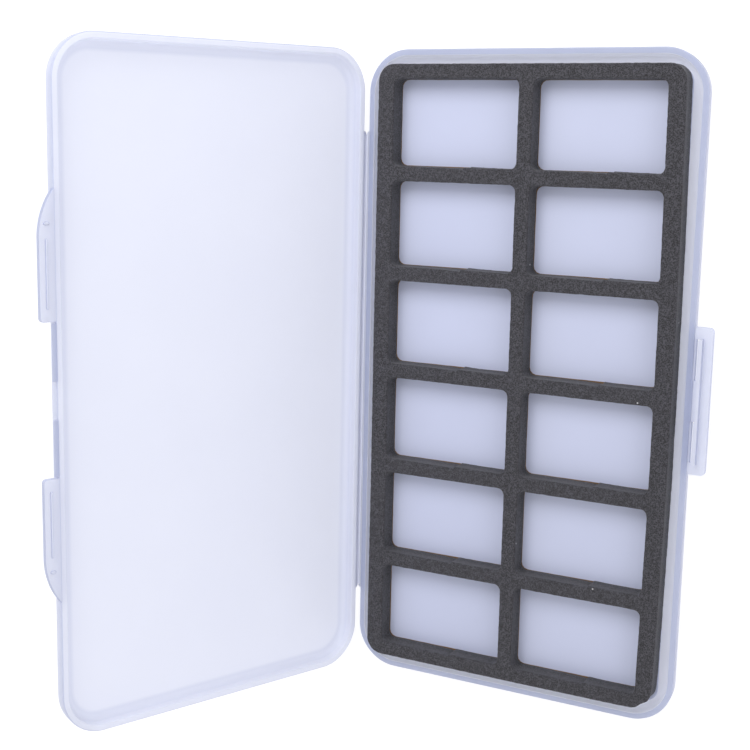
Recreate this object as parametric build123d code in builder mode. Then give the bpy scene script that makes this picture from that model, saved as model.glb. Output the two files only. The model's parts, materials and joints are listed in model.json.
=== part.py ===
from build123d import *
import os
from math import cos, radians, sin

os.makedirs("parts", exist_ok=True)

# Dimensions are in millimetres and degrees.
# The object is a slim folding case of two equal trays, joined by a living hinge along Y.
# The base lies flat on Z = 0 and the lid stands open. A foam grid in the base forms the wells.

# Case halves
case_length = 186.5  # along the hinge
case_width = 99.8  # from the hinge wall to the latch wall
corner_radius = 12.2
wall_thickness = 1.8
floor_thickness = 1.4
draft_angle = 4.0  # the walls lean in towards the underside
inside_round = 1.5  # between wall and floor, inside
outside_round = 1.6  # between wall and underside, outside

# Foam grid and the layers under it
well_columns = 2
well_rows = 6
foam_margin = 2.25  # from the foam to the wall
foam_thickness = 5.6
foam_headroom = 0.65  # from the foam to the floor of the shut lid
side_border = 5.2
end_border = 4.35
bar_width = 4.25
foam_corner = 5.0
well_corner = 2.0
liner_thickness = 0.3
liner_inset = 1.0
adhesive_thickness = 0.15
adhesive_inset = 1.0
adhesive_squeeze = 0.12  # how far the adhesive shows inside each well

# Living hinge
opening_angle = 112.6  # the lid as modelled, measured from closed
hinge_gap = 1.4  # between the two hinge walls
rim_clearance = 0.2  # between the rims when the case is shut
film_end_inset = 23.4  # from each end of the case to the film
film_thickness = 0.3
film_radius = 0.4  # from the hinge axis to the middle of the film
film_end_clearance = 0.02
land_height = 1.0  # the thick strips that carry the film
land_reach = 0.25

# Latch tab on the base, with a standing catch lip over two windows
latch_tab_length = 40.4
latch_tab_reach = 4.9
latch_tab_thickness = 1.4
latch_tab_drop = 0.4  # from the rim down to the face of the tab
latch_tab_corner = 1.2
lip_thickness = 0.8
lip_gap = 1.7  # from the wall to the lip
lip_overrun = 0.3  # past the outer end of each window
hook_reach = 0.3
hook_height = 0.35
window_length = 11.3
window_spacing = 22.5  # between the middles of the two windows
window_clearance = 0.5  # from the wall to the window

# Beads on the lid's latch wall, held under the catch lip
bead_height = 0.7
bead_clearance = 0.25  # from the bead to the hook it passes
bead_seat = 0.15  # from the bead to the hook above it
bead_lead = 0.6  # the bead starts this far before its window
bead_end_clearance = 0.4  # from the bead to the thumb tab

# Thumb tabs on the lid, one each side of the latch tab
thumb_tab_clearance = 0.25  # along the wall, to the latch tab
thumb_tab_straight = 21.3  # the part at full reach
thumb_tab_taper = 12.4  # the curved run back to the wall
thumb_tab_reach = 4.2
thumb_tab_thickness = 1.4
thumb_tab_corner = 1.0
grip_rib_width = 0.7
grip_rib_height = 0.4
grip_rib_inset = 2.2  # from the wall to the middle of the rib
grip_rib_start = 3.3  # from the square end of the tab to the rib
grip_rib_end = 0.1  # from the rib to the end of the straight part
pip_radius = 0.7
pip_height = 0.3
pip_inset = 2.1
pip_offset = 3.7  # past the straight part of the tab

# Derived sizes of the foam and its wells
inner_width = case_width - 2 * wall_thickness
inner_length = case_length - 2 * wall_thickness
foam_width = inner_width - 2 * foam_margin
foam_length = inner_length - 2 * foam_margin
well_width = (foam_width - 2 * side_border - (well_columns - 1) * bar_width) / well_columns
well_length = (foam_length - 2 * end_border - (well_rows - 1) * bar_width) / well_rows
column_pitch = well_width + bar_width
row_pitch = well_length + bar_width
adhesive_z = floor_thickness + liner_thickness
foam_z = adhesive_z + adhesive_thickness

# Derived depth: the two halves share the height of the foam, its layers and its headroom
stack_height = liner_thickness + adhesive_thickness + foam_thickness + foam_headroom
inner_depth = (stack_height - rim_clearance) / 2
half_depth = floor_thickness + inner_depth

# Derived sizes of the hinge and the latch
film_length = case_length - 2 * film_end_inset
bead_reach = lip_gap - hook_reach - bead_clearance
lip_rise = rim_clearance + bead_height + bead_seat + hook_height
lip_length = window_spacing + window_length + 2 * lip_overrun
window_width = lip_gap - window_clearance
thumb_tab_start = latch_tab_length / 2 + thumb_tab_clearance
bead_start = (window_spacing - window_length) / 2 - bead_lead
bead_length = thumb_tab_start - bead_end_clearance - bead_start
bead_spacing = 2 * bead_start + bead_length
grip_rib_length = thumb_tab_straight - grip_rib_start - grip_rib_end

hinge_x = -(case_width + hinge_gap) / 2
hinge_z = half_depth + rim_clearance / 2
wall_offset = hinge_gap / 2  # from the hinge axis to the nearest wall
far_wall = wall_offset + case_width  # from the hinge axis to the latch wall
land_offset = wall_offset - land_reach

# Each half is built from its rim plane: local X runs from the hinge to the latch wall,
# local Z from the rim to the underside.
base_rim = Plane(origin=(hinge_x, 0, half_depth), x_dir=(1, 0, 0), z_dir=(0, 0, -1))
lid_along = Vector(cos(radians(opening_angle)), 0, sin(radians(opening_angle)))
lid_outward = Vector(-sin(radians(opening_angle)), 0, cos(radians(opening_angle)))
hinge_point = Vector(hinge_x, 0, hinge_z)
lid_rim = Plane(
    origin=hinge_point + lid_outward * (rim_clearance / 2),
    x_dir=lid_along,
    z_dir=lid_outward,
)


def outer_block(rim_plane):
    """The outside shape of one half, solid, before it is hollowed."""
    with BuildPart() as block:
        with BuildSketch(rim_plane):
            with Locations((wall_offset + case_width / 2, 0)):
                RectangleRounded(case_width, case_length, corner_radius)
        extrude(amount=half_depth, taper=draft_angle)
        depth_axis = Axis(rim_plane.origin, rim_plane.z_dir)
        underside = block.faces().sort_by(depth_axis)[-1]
        fillet(underside.edges(), outside_round)
    return block.part


def half_shell(rim_plane):
    """One half of the case: the hollowed block with the hinge land on its hinge wall."""
    block = outer_block(rim_plane)
    depth_axis = Axis(rim_plane.origin, rim_plane.z_dir)
    with BuildPart() as shell:
        add(block)
        with BuildSketch(rim_plane):
            with Locations((land_offset + wall_thickness / 2, 0)):
                Rectangle(wall_thickness, film_length)
        extrude(amount=land_height)
        with BuildSketch(rim_plane):
            with Locations((wall_offset + case_width / 2, 0)):
                RectangleRounded(inner_width, inner_length, corner_radius - wall_thickness)
        extrude(amount=inner_depth, taper=draft_angle, mode=Mode.SUBTRACT)
        flat_faces = shell.faces().filter_by(depth_axis).sort_by(depth_axis)
        cavity_floor = flat_faces[-2]
        fillet(cavity_floor.edges(), inside_round)
    return shell.part


def thumb_tab(side):
    """One thumb tab on the lid: square at the latch tab, curved back to the wall at its far end."""
    straight_end = thumb_tab_start + thumb_tab_straight
    tab_end = straight_end + thumb_tab_taper
    root = far_wall - wall_thickness / 2
    edge = far_wall + thumb_tab_reach
    rib_middle = thumb_tab_start + grip_rib_start + grip_rib_length / 2
    with BuildPart() as tab:
        with BuildSketch(lid_rim) as outline:
            with BuildLine():
                Line((root, side * thumb_tab_start), (edge, side * thumb_tab_start))
                straight = Line((edge, side * thumb_tab_start), (edge, side * straight_end))
                curve = TangentArc(straight @ 1, (far_wall, side * tab_end), tangent=straight % 1)
                Polyline(curve @ 1, (root, side * tab_end), (root, side * thumb_tab_start))
            make_face()
            square_corner = outline.vertices().sort_by_distance(
                lid_rim.from_local_coords(Vector(edge, side * thumb_tab_start))
            )[0]
            fillet(square_corner, thumb_tab_corner)
        extrude(amount=thumb_tab_thickness)
        with BuildSketch(lid_rim):
            with Locations((far_wall + grip_rib_inset, side * rib_middle)):
                SlotOverall(grip_rib_length, grip_rib_width, rotation=90)
        extrude(amount=-grip_rib_height)
        with BuildSketch(lid_rim):
            with Locations((far_wall + pip_inset, side * (straight_end + pip_offset))):
                Circle(pip_radius)
        extrude(amount=-pip_height)
        add(lid_block, mode=Mode.SUBTRACT)
    return tab.part


def well_grid(width, length, corner, squeeze, plane, thickness):
    """A rounded sheet with the grid of wells cut through it, each smaller by squeeze all round."""
    with BuildPart() as sheet:
        with BuildSketch(plane):
            RectangleRounded(width, length, corner)
            with GridLocations(column_pitch, row_pitch, well_columns, well_rows):
                RectangleRounded(
                    well_width - 2 * squeeze,
                    well_length - 2 * squeeze,
                    well_corner,
                    mode=Mode.SUBTRACT,
                )
        extrude(amount=thickness)
    return sheet.part


def save(part, label):
    """Label one piece and write it to its own file."""
    part.label = label
    export_step(part, f"parts/{label}.step")


base_block = outer_block(base_rim)
lid_block = outer_block(lid_rim)

# Case halves
save(half_shell(base_rim), "base_tray")
save(half_shell(lid_rim), "lid_shell")

# Living hinge film: flat off each land, with an arc round the hinge axis between them
film_plane = Plane(origin=hinge_point, x_dir=(1, 0, 0), z_dir=(0, -1, 0))
film_turn = 180 - opening_angle
with BuildPart() as hinge_film:
    with BuildSketch(film_plane):
        with BuildLine():
            flat_run = Line((land_offset, -film_radius), (0, -film_radius))
            bend = CenterArc((0, 0), film_radius, -90, -film_turn)
            Line(bend @ 1, bend @ 1 + (bend % 1) * (land_offset - film_end_clearance))
        trace(line_width=film_thickness)
    extrude(amount=film_length / 2, both=True)
save(hinge_film.part, "hinge_film")

# Latch tab: a flange with two windows, and the standing lip with a hook over each window
tab_face_z = half_depth - latch_tab_drop
lip_height = lip_rise + latch_tab_drop
wall_x = case_width / 2
tab_root_x = wall_x - wall_thickness / 2
tab_edge_x = wall_x + latch_tab_reach
with BuildPart() as base_latch_tab:
    with BuildSketch(Plane.XY.offset(tab_face_z)) as flange:
        with Locations(((tab_root_x + tab_edge_x) / 2, 0)):
            Rectangle(tab_edge_x - tab_root_x, latch_tab_length)
        fillet(flange.vertices().group_by(Axis.X)[-1], latch_tab_corner)
    extrude(amount=-latch_tab_thickness)
    with BuildSketch(Plane.XY.offset(tab_face_z)):
        with Locations((wall_x + lip_gap + lip_thickness / 2, 0)):
            Rectangle(lip_thickness, lip_length)
    extrude(amount=lip_height)
    with BuildSketch(Plane.XY.offset(tab_face_z + lip_height - hook_height)):
        with Locations((wall_x + lip_gap - hook_reach / 2, 0)):
            with GridLocations(0, window_spacing, 1, 2):
                Rectangle(hook_reach, window_length)
    extrude(amount=hook_height)
    with BuildSketch(Plane.XY.offset(tab_face_z)):
        with Locations((wall_x + lip_gap - window_width / 2, 0)):
            with GridLocations(0, window_spacing, 1, 2):
                Rectangle(window_width, window_length)
    extrude(amount=-latch_tab_thickness, mode=Mode.SUBTRACT)
    add(base_block, mode=Mode.SUBTRACT)
save(base_latch_tab.part, "base_latch_tab")

# Latch beads on the lid, one solid each side of the middle
with BuildPart() as lid_latch_beads:
    with BuildSketch(lid_rim):
        with Locations((far_wall + (bead_reach - wall_thickness / 2) / 2, 0)):
            with GridLocations(0, bead_spacing, 1, 2):
                Rectangle(bead_reach + wall_thickness / 2, bead_length)
    extrude(amount=bead_height)
    add(lid_block, mode=Mode.SUBTRACT)
save(lid_latch_beads.part, "lid_latch_beads")

# Thumb tabs on the lid
save(thumb_tab(1), "lid_thumb_tab_upper")
save(thumb_tab(-1), "lid_thumb_tab_lower")

# Liner, adhesive and foam, stacked on the floor of the base
with BuildPart() as liner_sheet:
    with BuildSketch(Plane.XY.offset(floor_thickness)):
        RectangleRounded(
            foam_width - 2 * liner_inset,
            foam_length - 2 * liner_inset,
            foam_corner - liner_inset,
        )
    extrude(amount=liner_thickness)
save(liner_sheet.part, "liner_sheet")

foam_adhesive = well_grid(
    foam_width - 2 * adhesive_inset,
    foam_length - 2 * adhesive_inset,
    foam_corner - adhesive_inset,
    adhesive_squeeze,
    Plane.XY.offset(adhesive_z),
    adhesive_thickness,
)
save(foam_adhesive, "foam_adhesive")

foam_grid = well_grid(
    foam_width, foam_length, foam_corner, 0, Plane.XY.offset(foam_z), foam_thickness
)
save(foam_grid, "foam_grid")
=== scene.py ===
import json
import logging
import math
from collections.abc import Callable
from dataclasses import dataclass, field
from enum import Enum
from functools import cached_property, partial

import bmesh
import bpy
from mathutils import Matrix, Vector


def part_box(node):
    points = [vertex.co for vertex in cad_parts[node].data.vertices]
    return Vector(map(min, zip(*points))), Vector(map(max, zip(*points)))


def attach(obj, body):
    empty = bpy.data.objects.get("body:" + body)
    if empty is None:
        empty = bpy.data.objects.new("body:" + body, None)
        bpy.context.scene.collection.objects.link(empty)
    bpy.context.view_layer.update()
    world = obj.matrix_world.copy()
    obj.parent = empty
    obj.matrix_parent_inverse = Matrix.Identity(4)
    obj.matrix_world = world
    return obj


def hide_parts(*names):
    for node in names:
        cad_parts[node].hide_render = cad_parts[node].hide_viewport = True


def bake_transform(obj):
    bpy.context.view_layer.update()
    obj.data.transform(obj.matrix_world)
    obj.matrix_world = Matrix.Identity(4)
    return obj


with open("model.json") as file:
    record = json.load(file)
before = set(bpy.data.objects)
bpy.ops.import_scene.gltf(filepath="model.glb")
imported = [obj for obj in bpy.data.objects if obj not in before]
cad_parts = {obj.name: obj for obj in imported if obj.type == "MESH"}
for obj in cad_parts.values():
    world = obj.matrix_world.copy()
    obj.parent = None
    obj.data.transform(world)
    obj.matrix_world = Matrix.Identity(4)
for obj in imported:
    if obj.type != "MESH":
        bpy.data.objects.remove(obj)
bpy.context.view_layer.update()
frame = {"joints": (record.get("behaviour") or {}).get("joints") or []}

log = logging.getLogger("palette_case")

MM = 0.001
FLAT_TOLERANCE = 0.02 * MM
MERGE_DISTANCE = 0.004 * MM
# Tab and bead tops lie this far under the rim plane, and details on them start this far inside.
TOP_GAP = 0.03 * MM
DETAIL_ROOT = 0.05 * MM
Point = tuple[float, float]
Outline = list[Point]
AddNode = Callable[..., bpy.types.Node]


# ---------------------------------------------------------------- colour and node helpers


def linear_colour(srgb_hex: str) -> tuple[float, float, float, float]:
    """Turn an sRGB hex colour into linear light.

    Args:
        srgb_hex: The colour as six hex digits, with or without a leading hash.

    Returns:
        Linear red, green and blue, and an alpha of 1.
    """
    digits = srgb_hex.lstrip("#")
    parts = [int(digits[i : i + 2], 16) / 255 for i in (0, 2, 4)]
    linear = [p / 12.92 if p <= 0.04045 else ((p + 0.055) / 1.055) ** 2.4 for p in parts]
    return (*linear, 1.0)


def add_node(
    tree: bpy.types.NodeTree, kind: str, inputs: dict | None = None, **settings: object
) -> bpy.types.Node:
    """Add one node with its settings and its inputs.

    Args:
        tree: The node tree that gets the node.
        kind: The node's type name.
        inputs: Socket name or index to a value, a socket, or a list of sockets to link.
        **settings: Properties of the node itself.

    Returns:
        The new node.
    """
    node = tree.nodes.new(kind)
    for name, value in settings.items():
        setattr(node, name, value)
    for key, value in (inputs or {}).items():
        sources = value if isinstance(value, list) else [value]
        for source in sources:
            if isinstance(source, bpy.types.NodeSocket):
                tree.links.new(source, node.inputs[key])
            else:
                node.inputs[key].default_value = source
    return node


# ---------------------------------------------------------------- finishes


@dataclass(frozen=True)
class Finish:
    """One finish: makes its material, and leaves the surface's nodes to each kind of finish."""

    name: str

    def build(self) -> bpy.types.Material:
        """Make the material with its node tree.

        Returns:
            The material, named for what the real one is and how it was made.
        """
        material = bpy.data.materials.new(self.name)
        material.use_nodes = True
        tree = material.node_tree
        tree.nodes.clear()
        place = add_node(tree, "ShaderNodeTexCoord").outputs["Object"]
        surface = self.surface(partial(add_node, tree), place)
        add_node(tree, "ShaderNodeOutputMaterial", {"Surface": surface})
        return material

    def surface(self, add: AddNode, place: bpy.types.NodeSocket) -> bpy.types.NodeSocket:
        """Add the nodes of this finish.

        Args:
            add: Adds one node to the material's tree.
            place: Where a point lies on the piece, in metres.

        Returns:
            The shader that the eye sees.
        """
        raise NotImplementedError


@dataclass(frozen=True)
class MouldedPolypropylene(Finish):
    """Natural polypropylene, injection moulded against a lightly blasted steel mould.

    The eye sees a milky, faintly blue plastic that glows where light passes through it, a soft
    satin gloss, and a blue-grey on rims, edges and sides that is partly the look of more plastic
    seen through and partly painted shade, where the shadowed floor shows through a wall.
    """

    name: str = "polypropylene_natural_moulded"
    thin_colour: str = "#EDEFFB"
    # Blue-grey of painted shade on rims, edges and sides, which also stands for deeper plastic.
    deep_shade_colour: str = "#96A1C8"
    glow_colour: str = "#FAFBFF"
    ior: float = 1.49
    roughness_low: float = 0.2
    roughness_high: float = 0.27
    translucency: float = 0.55
    haze_mm: float = 34.0
    haze_detail: float = 3.0
    haze_depth: tuple[float, float] = (-0.02, 0.1)
    haze_span: tuple[float, float] = (0.3, 0.7)
    texture_mm: float = 0.45
    texture_detail: float = 2.0
    texture_height_mm: float = 0.004
    texture_strength: float = 0.5

    def surface(self, add: AddNode, place: bpy.types.NodeSocket) -> bpy.types.NodeSocket:
        """Mix a satin skin, tinted by painted depth shade and haze, with light that comes through.

        Args:
            add: Adds one node to the material's tree.
            place: Where a point lies on the piece, in metres.

        Returns:
            The shader that the eye sees.
        """
        # The vertex value read here is painted shade mixed with plastic depth.
        depth = add("ShaderNodeAttribute", attribute_name="wall_depth").outputs["Fac"]
        scale = 1 / (self.haze_mm * MM)
        haze_inputs = {"Vector": place, "Scale": scale, "Detail": self.haze_detail}
        haze = add("ShaderNodeTexNoise", haze_inputs).outputs[0]
        low, high = self.haze_depth
        cloud_inputs = {"Value": haze, "To Min": low, "To Max": high}
        cloud = add("ShaderNodeMapRange", cloud_inputs, clamp=False).outputs[0]
        share_inputs = {0: depth, 1: cloud}
        share = add("ShaderNodeMath", share_inputs, operation="ADD", use_clamp=True).outputs[0]
        tints = {
            "Factor": share,
            6: linear_colour(self.thin_colour),
            7: linear_colour(self.deep_shade_colour),
        }
        colour = add("ShaderNodeMix", tints, data_type="RGBA").outputs[2]
        scale = 1 / (self.texture_mm * MM)
        grain_inputs = {"Vector": place, "Scale": scale, "Detail": self.texture_detail}
        grain = add("ShaderNodeTexNoise", grain_inputs).outputs[0]
        gloss_inputs = {
            "Value": haze,
            "From Min": self.haze_span[0],
            "From Max": self.haze_span[1],
            "To Min": self.roughness_low,
            "To Max": self.roughness_high,
        }
        roughness = add("ShaderNodeMapRange", gloss_inputs).outputs[0]
        relief_inputs = {
            "Height": grain,
            "Strength": self.texture_strength,
            "Distance": self.texture_height_mm * MM,
        }
        relief = add("ShaderNodeBump", relief_inputs).outputs[0]
        skin_inputs = {
            "Base Color": colour,
            "Roughness": roughness,
            "Normal": relief,
            "IOR": self.ior,
        }
        skin = add("ShaderNodeBsdfPrincipled", skin_inputs).outputs[0]
        glow = {"Color": linear_colour(self.glow_colour)}
        through = add("ShaderNodeBsdfTranslucent", glow).outputs[0]
        milky = {0: self.translucency, 1: skin, 2: through}
        return add("ShaderNodeMixShader", milky).outputs[0]


@dataclass(frozen=True)
class FlexedPolypropylene(Finish):
    """Polypropylene coined thin at the living hinge and flexed, so its molecules line up.

    The eye sees a clearer, glossier web than the case, greyed by painted shade along the crease.
    """

    name: str = "polypropylene_coined_hinge"
    web_colour: str = "#EEF0FB"
    crease_shade_colour: str = "#C9CFE3"
    ior: float = 1.49
    roughness: float = 0.22
    translucency: float = 0.45
    ripple_mm: float = 1.6
    ripple_detail: float = 2.0
    ripple_height_mm: float = 0.02
    ripple_strength: float = 0.4

    def surface(self, add: AddNode, place: bpy.types.NodeSocket) -> bpy.types.NodeSocket:
        """Mix a glossy rippled skin, painted grey as shade at the crease, with light that comes
        through.

        Args:
            add: Adds one node to the material's tree.
            place: Where a point lies on the piece, in metres.

        Returns:
            The shader that the eye sees.
        """
        tints = {
            "Factor": add("ShaderNodeAttribute", attribute_name="crease").outputs["Fac"],
            6: linear_colour(self.web_colour),
            7: linear_colour(self.crease_shade_colour),
        }
        colour = add("ShaderNodeMix", tints, data_type="RGBA").outputs[2]
        scale = 1 / (self.ripple_mm * MM)
        ripple_inputs = {"Vector": place, "Scale": scale, "Detail": self.ripple_detail}
        relief_inputs = {
            "Height": add("ShaderNodeTexNoise", ripple_inputs).outputs[0],
            "Strength": self.ripple_strength,
            "Distance": self.ripple_height_mm * MM,
        }
        skin_inputs = {
            "Base Color": colour,
            "Normal": add("ShaderNodeBump", relief_inputs).outputs[0],
            "Roughness": self.roughness,
            "IOR": self.ior,
        }
        skin = add("ShaderNodeBsdfPrincipled", skin_inputs).outputs[0]
        glow = {"Color": linear_colour(self.web_colour)}
        through = add("ShaderNodeBsdfTranslucent", glow).outputs[0]
        clear = {0: self.translucency, 1: skin, 2: through}
        return add("ShaderNodeMixShader", clear).outputs[0]


@dataclass(frozen=True)
class DieCutFoam(Finish):
    """Closed-cell polyethylene foam sheet, charcoal, cut with a steel-rule die.

    The eye sees a matt dark grey skin of tiny burst cells, each a pale rim round a dark pit, and
    a pale speck here and there where a cell has caught the light.
    """

    name: str = "foam_polyethylene_die_cut"
    cell_colour: str = "#151417"
    rim_colour: str = "#47464D"
    speck_colour: str = "#C9C8CC"
    ior: float = 1.45
    roughness: float = 0.82
    sheen: float = 0.12
    sheen_roughness: float = 0.6
    cell_mm: float = 0.34
    rim_span: tuple[float, float] = (0.1, 0.4)
    mottle_mm: float = 1.1
    mottle_detail: float = 5.0
    mottle_roughness: float = 0.75
    pit_mm: float = 0.10
    pit_strength: float = 0.9
    speck_mm: float = 9.0
    speck_span: tuple[float, float] = (0.034, 0.018)

    def surface(self, add: AddNode, place: bpy.types.NodeSocket) -> bpy.types.NodeSocket:
        """Colour and dent a matt skin with mottled cells, and add the specks.

        Args:
            add: Adds one node to the material's tree.
            place: Where a point lies on the piece, in metres.

        Returns:
            The shader that the eye sees.
        """
        # Real cells are about 0.2 mm across; they are drawn larger so that they show.
        cell_inputs = {"Vector": place, "Scale": 1 / (self.cell_mm * MM)}
        cells = add("ShaderNodeTexVoronoi", cell_inputs).outputs["Distance"]
        mottle_inputs = {
            "Vector": place,
            "Scale": 1 / (self.mottle_mm * MM),
            "Detail": self.mottle_detail,
            "Roughness": self.mottle_roughness,
        }
        mottle = add("ShaderNodeTexNoise", mottle_inputs).outputs[0]
        mixed = add("ShaderNodeMath", {0: cells, 1: mottle}, operation="MULTIPLY").outputs[0]
        low, high = self.rim_span
        rim_inputs = {"Value": mixed, "From Min": low, "From Max": high}
        tints = {
            "Factor": add("ShaderNodeMapRange", rim_inputs).outputs[0],
            6: linear_colour(self.cell_colour),
            7: linear_colour(self.rim_colour),
        }
        grain = add("ShaderNodeMix", tints, data_type="RGBA").outputs[2]
        scatter_inputs = {"Vector": place, "Scale": 1 / (self.speck_mm * MM), "Randomness": 1.0}
        scatter = add("ShaderNodeTexVoronoi", scatter_inputs).outputs["Distance"]
        far, near = self.speck_span
        speck_inputs = {"Value": scatter, "From Min": far, "From Max": near}
        speck = add("ShaderNodeMapRange", speck_inputs).outputs[0]
        specked = {"Factor": speck, 6: grain, 7: linear_colour(self.speck_colour)}
        colour = add("ShaderNodeMix", specked, data_type="RGBA").outputs[2]
        relief_inputs = {
            "Height": mixed,
            "Strength": self.pit_strength,
            "Distance": self.pit_mm * MM,
        }
        skin_inputs = {
            "Base Color": colour,
            "Normal": add("ShaderNodeBump", relief_inputs).outputs[0],
            "Roughness": self.roughness,
            "IOR": self.ior,
            "Sheen Weight": self.sheen,
            "Sheen Roughness": self.sheen_roughness,
        }
        return add("ShaderNodeBsdfPrincipled", skin_inputs).outputs[0]


@dataclass(frozen=True)
class CloudedFinish(Finish):
    """A plain skin whose colour drifts softly between two tints."""

    first_colour: str = "#FFFFFF"
    second_colour: str = "#FFFFFF"
    ior: float = 1.5
    roughness: float = 0.5
    cloud_mm: float = 10.0
    cloud_detail: float = 3.0

    def surface(self, add: AddNode, place: bpy.types.NodeSocket) -> bpy.types.NodeSocket:
        """Tint a plain skin with soft clouds.

        Args:
            add: Adds one node to the material's tree.
            place: Where a point lies on the piece, in metres.

        Returns:
            The shader that the eye sees.
        """
        scale = 1 / (self.cloud_mm * MM)
        cloud_inputs = {"Vector": place, "Scale": scale, "Detail": self.cloud_detail}
        tints = {
            "Factor": add("ShaderNodeTexNoise", cloud_inputs).outputs[0],
            6: linear_colour(self.first_colour),
            7: linear_colour(self.second_colour),
        }
        skin_inputs = {
            "Base Color": add("ShaderNodeMix", tints, data_type="RGBA").outputs[2],
            "Roughness": self.roughness,
            "IOR": self.ior,
        }
        return add("ShaderNodeBsdfPrincipled", skin_inputs).outputs[0]


@dataclass(frozen=True)
class CalenderedSheet(CloudedFinish):
    """White polystyrene sheet, calendered smooth.

    The eye sees a cool, even white that is duller than the case, with a soft sheen.
    """

    name: str = "polystyrene_sheet_calendered"
    first_colour: str = "#BFC4DC"
    second_colour: str = "#C6CBE4"
    ior: float = 1.55
    roughness: float = 0.38
    cloud_mm: float = 26.0
    cloud_detail: float = 4.0


@dataclass(frozen=True)
class SqueezedAdhesive(CloudedFinish):
    """Rubber-based pressure-sensitive adhesive, squeezed out a little under the foam.

    The eye sees a thin uneven brown line, shiny, and darker where it lies thicker.
    """

    name: str = "adhesive_rubber_squeezed"
    first_colour: str = "#8A6A45"
    second_colour: str = "#4F3A22"
    roughness: float = 0.3
    cloud_mm: float = 3.0


@dataclass(frozen=True)
class LightTable:
    """Opal acrylic of a light table, which burns out the shadows under the object."""

    name: str = "acrylic_opal_backlit"
    colour: str = "#95959A"
    glow: str = "#FFFFFF"
    roughness: float = 0.9
    backlight: float = 0.78

    def build(self) -> bpy.types.Material:
        """Make the material.

        Returns:
            The material of the floor, which gives off light of its own.
        """
        material = bpy.data.materials.new(self.name)
        material.use_nodes = True
        sockets = material.node_tree.nodes["Principled BSDF"].inputs
        sockets["Base Color"].default_value = linear_colour(self.colour)
        sockets["Roughness"].default_value = self.roughness
        sockets["Emission Color"].default_value = linear_colour(self.glow)
        sockets["Emission Strength"].default_value = self.backlight
        return material


# ---------------------------------------------------------------- sizes read from the frame


@dataclass(frozen=True)
class CaseSizes:
    """Sizes shared by the sub-assemblies, in metres, read from the frame where it has them."""

    wall: float = 1.8 * MM
    floor: float = 1.4 * MM
    corner_radius: float = 12.2 * MM
    rim_clearance: float = 0.2 * MM
    land_reach: float = 0.25 * MM
    draft: float = math.radians(4.0)

    @cached_property
    def length(self) -> float:
        """Length of the case along the hinge."""
        low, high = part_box("base_tray")
        return high.y - low.y

    @cached_property
    def width(self) -> float:
        """Width of one half, from its hinge wall to its latch wall."""
        return 2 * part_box("base_tray")[1].x

    @cached_property
    def half_depth(self) -> float:
        """Height of the base from its underside to its rim."""
        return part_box("base_tray")[1].z

    @cached_property
    def hinge_axis(self) -> Vector:
        """Middle of the hinge axis."""
        return Vector(frame["joints"][0]["pos_m"])

    @cached_property
    def opening(self) -> float:
        """Angle between the halves at rest, in radians: the lid shuts at the joint's low limit."""
        return math.radians(-frame["joints"][0]["range_deg"][0])

    @cached_property
    def wall_offset(self) -> float:
        """Distance from the hinge axis to the nearest wall."""
        return -self.hinge_axis.x - self.width / 2

    @cached_property
    def far_wall(self) -> float:
        """Distance from the hinge axis to the outside of the latch wall."""
        return self.wall_offset + self.width


class Half(Enum):
    """The two halves of the case, each named for the body that it rides on."""

    BASE = "base"
    LID = "lid"


def rim_matrix(sizes: CaseSizes, half: Half) -> Matrix:
    """Give the placement of one half's rim plane.

    Args:
        sizes: The shared case sizes.
        half: Which half.

    Returns:
        A matrix whose local X runs from the hinge to the latch wall, and local Z from the rim to
        the underside.
    """
    if half is Half.BASE:
        along = Vector((1, 0, 0))
        outward = Vector((0, 0, -1))
    else:
        along = Vector((math.cos(sizes.opening), 0, math.sin(sizes.opening)))
        outward = Vector((-math.sin(sizes.opening), 0, math.cos(sizes.opening)))
    across = outward.cross(along)
    origin = sizes.hinge_axis + outward * (sizes.rim_clearance / 2)
    matrix = Matrix((along, across, outward)).transposed().to_4x4()
    matrix.translation = origin
    return matrix


# ---------------------------------------------------------------- mesh helpers


def rounded_rectangle(
    width: float, length: float, radius: float, step: float, corner_steps: int
) -> Outline:
    """Trace a rounded rectangle about the origin, anticlockwise.

    Args:
        width: Size along X.
        length: Size along Y.
        radius: Corner radius.
        step: Spacing wanted along the straight sides.
        corner_steps: Number of steps round each corner.

    Returns:
        The outline's points. The number of points doesn't change when all three sizes shrink or
        grow by the same inset.
    """
    half_x = width / 2 - radius
    half_y = length / 2 - radius
    across = max(1, round(2 * half_x / step))
    along = max(1, round(2 * half_y / step))
    corners = (
        (half_x, half_y, 0),
        (-half_x, half_y, 90),
        (-half_x, -half_y, 180),
        (half_x, -half_y, 270),
    )
    sides = (across, along, across, along)
    points: Outline = []
    for index, (x, y, start) in enumerate(corners):
        for k in range(corner_steps + 1):
            angle = math.radians(start + 90 * k / corner_steps)
            points.append((x + radius * math.cos(angle), y + radius * math.sin(angle)))
        next_x, next_y, next_start = corners[(index + 1) % 4]
        angle = math.radians(next_start if next_start else 360)
        end = (next_x + radius * math.cos(angle), next_y + radius * math.sin(angle))
        begin = points[-1]
        for k in range(1, sides[index]):
            share = k / sides[index]
            points.append(
                (begin[0] + (end[0] - begin[0]) * share, begin[1] + (end[1] - begin[1]) * share)
            )
    return points


def loft(mesh: bmesh.types.BMesh, rings: list[list[Vector]], closed_ends: bool) -> list[list]:
    """Join closed rings of points with quads.

    Args:
        mesh: The mesh that gets the faces.
        rings: Rings with the same number of points.
        closed_ends: Whether the first and last rings are capped.

    Returns:
        The new vertices, ring by ring.
    """
    made = [[mesh.verts.new(point) for point in ring] for ring in rings]
    for lower, upper in zip(made, made[1:]):
        count = len(lower)
        for k in range(count):
            mesh.faces.new((lower[k], lower[(k + 1) % count], upper[(k + 1) % count], upper[k]))
    if closed_ends:
        mesh.faces.new(list(reversed(made[0])))
        mesh.faces.new(made[-1])
    return made


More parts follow.
